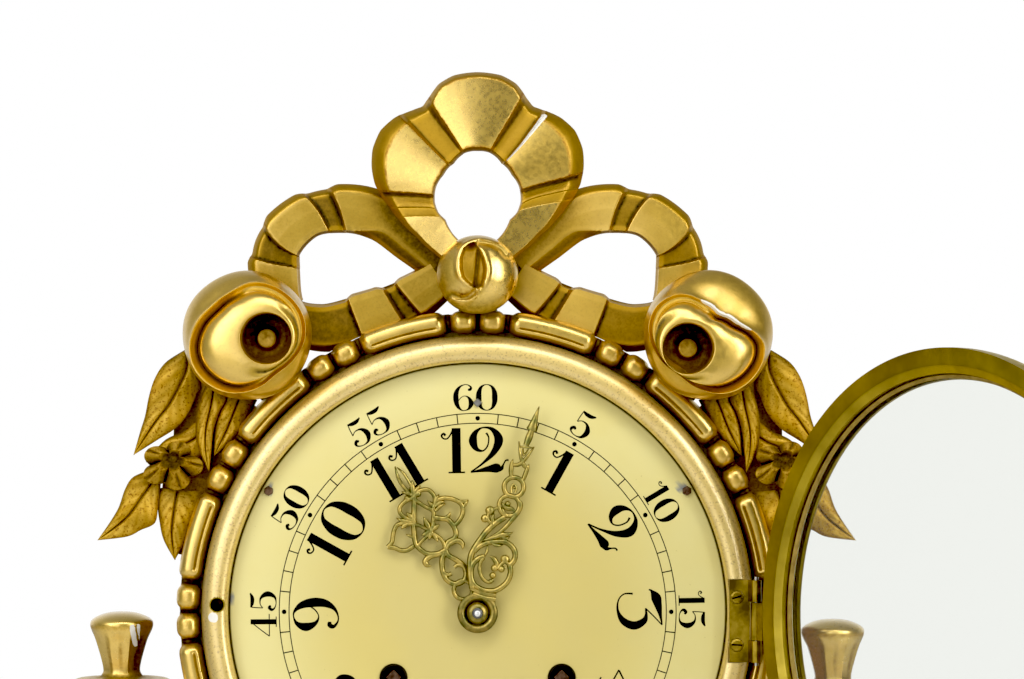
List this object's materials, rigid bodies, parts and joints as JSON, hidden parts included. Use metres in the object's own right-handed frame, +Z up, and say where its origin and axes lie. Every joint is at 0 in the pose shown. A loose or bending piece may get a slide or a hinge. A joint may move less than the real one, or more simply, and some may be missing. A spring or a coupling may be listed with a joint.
{
  "type": "giltwood wall clock",
  "caption": "Round wall clock in a carved gilt wood frame with ribbon crest, roses, urns and apron, a cream dial with cast hands, a hinged glazed bezel and a pendulum movement.",
  "frame": {"origin": "centre of the backboard's flat back face, on the dial's axis, where the clock lies against the wall", "axes": "+Z up, +Y into the wall, so the dial faces -Y; +X to the right seen from the front"},
  "size_m": [0.3756, 0.256, 0.3973],
  "materials": {
    "water_gilt_wood": "worn water gilding over red bole and white gesso",
    "pine_wood": "bare pine, aged brown",
    "aged_brass": "dull olive patina",
    "cast_hand_brass": "cast and chased, dark patina with verdigris",
    "blackened_brass": "blackened",
    "clock_steel": "dull grey",
    "cream_dial_paint": "aged cream paint, satin",
    "bezel_glass": "clear",
    "glazing_putty": "hardened oil putty, dark and dull"
  },
  "bodies": {
    "case": {"backboard": "pine_wood", "case_drum": "pine_wood", "front_ring": "water_gilt_wood", "bead_moulding": "water_gilt_wood", "crest_centre_loop": "water_gilt_wood", "crest_left_loop": "water_gilt_wood", "crest_right_loop": "water_gilt_wood", "crest_rosebud": "water_gilt_wood", "rose_left": "water_gilt_wood", "rose_right": "water_gilt_wood", "leaf_spray_left": "water_gilt_wood", "leaf_spray_right": "water_gilt_wood", "urn_left": "water_gilt_wood", "urn_right": "water_gilt_wood", "urn_bracket_left": "water_gilt_wood", "urn_bracket_right": "water_gilt_wood", "apron": "water_gilt_wood", "apron_rose": "water_gilt_wood", "dial": "cream_dial_paint", "dial_pin_top": "clock_steel", "dial_pin_upper_left": "clock_steel", "dial_pin_upper_right": "clock_steel", "dial_pin_lower_left": "clock_steel", "dial_pin_lower_right": "clock_steel", "winding_eyelet_left": "blackened_brass", "winding_eyelet_right": "blackened_brass", "front_plate": "aged_brass", "back_plate": "aged_brass", "bell": "aged_brass", "hanger_plate": "clock_steel", "hinge_case_leaf": "aged_brass", "hinge_screw_upper": "aged_brass", "hinge_screw_lower": "aged_brass", "hinge_pin": "clock_steel", "latch_bush": "aged_brass"},
    "door": {"bezel": "aged_brass", "glass": "bezel_glass", "glazing_putty": "glazing_putty", "hinge_door_leaf": "aged_brass", "latch_stud": "clock_steel"},
    "minute": {"minute_hand": "cast_hand_brass", "hand_collet": "cast_hand_brass", "cannon_pinion": "aged_brass"},
    "hour": {"hour_hand": "cast_hand_brass", "hour_wheel": "aged_brass"},
    "motion_wheel": {"minute_wheel": "aged_brass"},
    "centre": {"centre_wheel": "aged_brass"},
    "intermediate": {"intermediate_wheel": "aged_brass"},
    "going_barrel": {"time_barrel": "aged_brass"},
    "third": {"third_wheel": "aged_brass"},
    "escape": {"escape_wheel": "aged_brass"},
    "pendulum": {"pendulum_rod": "clock_steel", "pendulum_bob": "aged_brass"},
    "pallets": {"anchor": "clock_steel"},
    "time_arbor": {"time_winding_arbor": "clock_steel"},
    "strike_arbor": {"strike_winding_arbor": "clock_steel"},
    "striking_barrel": {"strike_barrel": "aged_brass"},
    "pin_wheel": {"strike_pin_wheel": "aged_brass"},
    "striker": {"hammer": "clock_steel"}
  },
  "joints": [
    {"name": "door_hinge", "type": "hinge", "parent": "case", "child": "door", "pos_m": [0.1003, -0.0956, -0.0029], "axis": [0, 0, 1], "range_deg": [-127, 0]},
    {"name": "minute_turn", "type": "hinge", "parent": "case", "child": "minute", "pos_m": [0, -0.09, 0], "axis": [0, 1, 0], "continuous": true},
    {"name": "hour_turn", "type": "hinge", "parent": "case", "child": "hour", "pos_m": [0, -0.09, 0], "axis": [0, 1, 0], "continuous": true},
    {"name": "motion_wheel_turn", "type": "hinge", "parent": "case", "child": "motion_wheel", "pos_m": [0.00301, -0.07, -0.02139], "axis": [0, 1, 0], "continuous": true},
    {"name": "centre_turn", "type": "hinge", "parent": "case", "child": "centre", "pos_m": [0, -0.05, 0], "axis": [0, 1, 0], "continuous": true},
    {"name": "intermediate_turn", "type": "hinge", "parent": "case", "child": "intermediate", "pos_m": [-0.00011, -0.05, -0.01995], "axis": [0, 1, 0], "continuous": true},
    {"name": "going_barrel_turn", "type": "hinge", "parent": "case", "child": "going_barrel", "pos_m": [0.0304, -0.05, -0.0238], "axis": [0, 1, 0], "continuous": true},
    {"name": "third_turn", "type": "hinge", "parent": "case", "child": "third", "pos_m": [0.01273, -0.05, 0.01517], "axis": [0, 1, 0], "continuous": true},
    {"name": "escape_turn", "type": "hinge", "parent": "case", "child": "escape", "pos_m": [0, -0.05, 0.02613], "axis": [0, 1, 0], "continuous": true},
    {"name": "pendulum_swing", "type": "hinge", "parent": "case", "child": "pendulum", "pos_m": [0, -0.0195, 0.04313], "axis": [0, 1, 0], "range_deg": [-3.5, 3.5]},
    {"name": "pallet_rock", "type": "hinge", "parent": "case", "child": "pallets", "pos_m": [0, -0.05, 0.04313], "axis": [0, 1, 0], "range_deg": [-3.5, 3.5]},
    {"name": "time_winding", "type": "hinge", "parent": "case", "child": "time_arbor", "pos_m": [0.0304, -0.08, -0.0238], "axis": [0, 1, 0], "range_deg": [0, 1620]},
    {"name": "strike_winding", "type": "hinge", "parent": "case", "child": "strike_arbor", "pos_m": [-0.0304, -0.08, -0.0238], "axis": [0, 1, 0], "range_deg": [0, 1620]},
    {"name": "striking_barrel_turn", "type": "hinge", "parent": "case", "child": "striking_barrel", "pos_m": [-0.0304, -0.05, -0.0238], "axis": [0, 1, 0], "continuous": true},
    {"name": "pin_wheel_turn", "type": "hinge", "parent": "case", "child": "pin_wheel", "pos_m": [-0.03836, -0.05, 0.0059], "axis": [0, 1, 0], "continuous": true},
    {"name": "hammer_lift", "type": "hinge", "parent": "case", "child": "striker", "pos_m": [-0.014, -0.022, -0.016], "axis": [0, 1, 0], "range_deg": [0, 16], "stiffness_Nm_per_rad": 0.02}
  ],
  "couplings": [
    {"joint": "hour_turn", "follows": "minute_turn", "ratio": 0.083333},
    {"joint": "motion_wheel_turn", "follows": "minute_turn", "ratio": -0.33333},
    {"joint": "centre_turn", "follows": "minute_turn", "ratio": 1},
    {"joint": "intermediate_turn", "follows": "minute_turn", "ratio": -0.25},
    {"joint": "going_barrel_turn", "follows": "minute_turn", "ratio": 0.0625},
    {"joint": "third_turn", "follows": "minute_turn", "ratio": -4},
    {"joint": "escape_turn", "follows": "minute_turn", "ratio": 16},
    {"joint": "pallet_rock", "follows": "pendulum_swing", "ratio": 1},
    {"joint": "pin_wheel_turn", "follows": "striking_barrel_turn", "ratio": -4}
  ]
}
